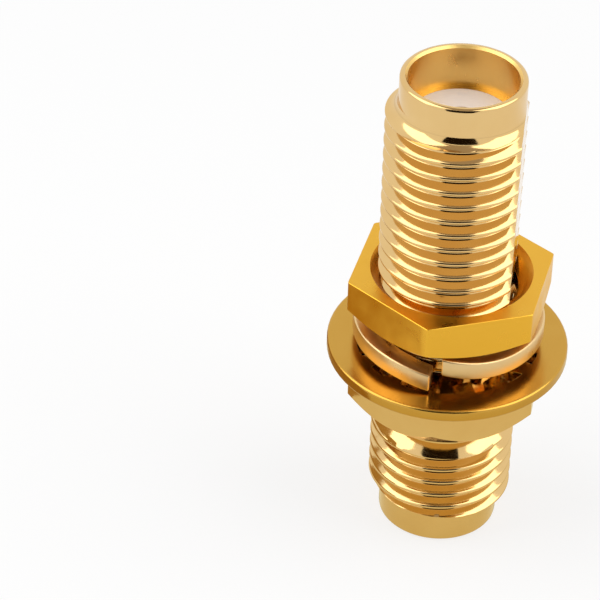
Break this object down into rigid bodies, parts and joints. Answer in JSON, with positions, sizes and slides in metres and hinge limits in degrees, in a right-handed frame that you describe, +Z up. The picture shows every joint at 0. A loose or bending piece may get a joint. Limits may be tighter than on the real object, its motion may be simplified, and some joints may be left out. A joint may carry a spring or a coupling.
{
  "type": "sma bulkhead adapter",
  "caption": "Gold-plated coaxial bulkhead adapter with a threaded socket at each end, a hex flange, lock washers and a panel nut.",
  "frame": {"origin": "on the axis, at the rim of the short end that the adapter stands on", "axes": "+Z up the axis towards the long end; +X out of the flat on the long barrel"},
  "size_m": [0.0104, 0.0104, 0.0228],
  "materials": {
    "gold_body": "turned brass with bright gold plate",
    "ptfe": "machined PTFE, white",
    "gold_contact": "beryllium copper with gold plate",
    "gold_hardware": "brass and bronze with bright gold plate",
    "pale_gold_hardware": "spring bronze with pale gold plate"
  },
  "bodies": {
    "adapter": {"body": "gold_body", "short_dielectric": "ptfe", "long_dielectric": "ptfe", "centre_contact": "gold_contact", "tooth_washer": "gold_hardware", "spring_washer": "pale_gold_hardware"},
    "nut": {"hex_nut": "gold_hardware"}
  },
  "joints": [
    {"name": "nut_travel", "type": "slide", "parent": "adapter", "child": "nut", "axis": [0, 0, 1], "range_m": [0, 0.00917]}
  ]
}
